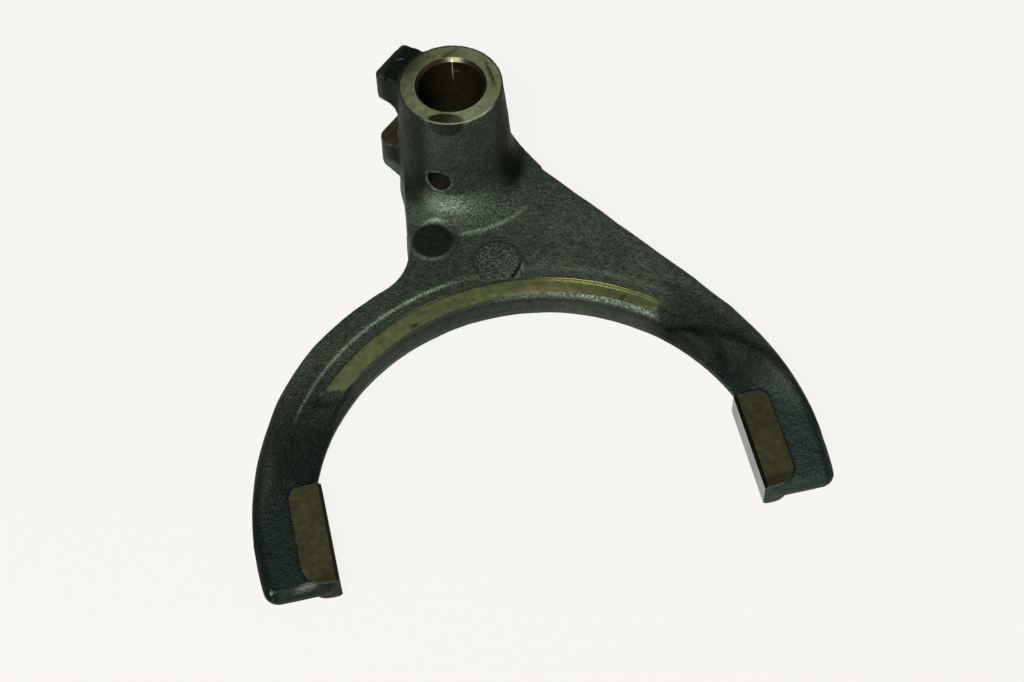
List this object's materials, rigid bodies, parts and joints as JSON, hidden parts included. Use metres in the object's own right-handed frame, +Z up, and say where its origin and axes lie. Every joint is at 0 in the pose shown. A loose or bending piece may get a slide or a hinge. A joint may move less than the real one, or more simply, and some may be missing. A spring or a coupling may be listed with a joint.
{
  "type": "shift fork",
  "caption": "Gearbox shift fork: a half-round steel fork with wear pads on a tall rail boss with a slotted selector lug.",
  "frame": {"origin": "on the rail bore's axis, in the mid-plane of the two wear pads", "axes": "+Z up the rail bore to the boss's machined top face, -Y towards the fork's open mouth, +X across the fork to the arm on the side away from the selector lug"},
  "size_m": [0.1694, 0.1561, 0.0547],
  "materials": {
    "forged_steel": "dark as-forged steel skin with oily machined faces"
  },
  "bodies": {
    "root": {"shift_fork": "forged_steel"}
  },
  "joints": []
}
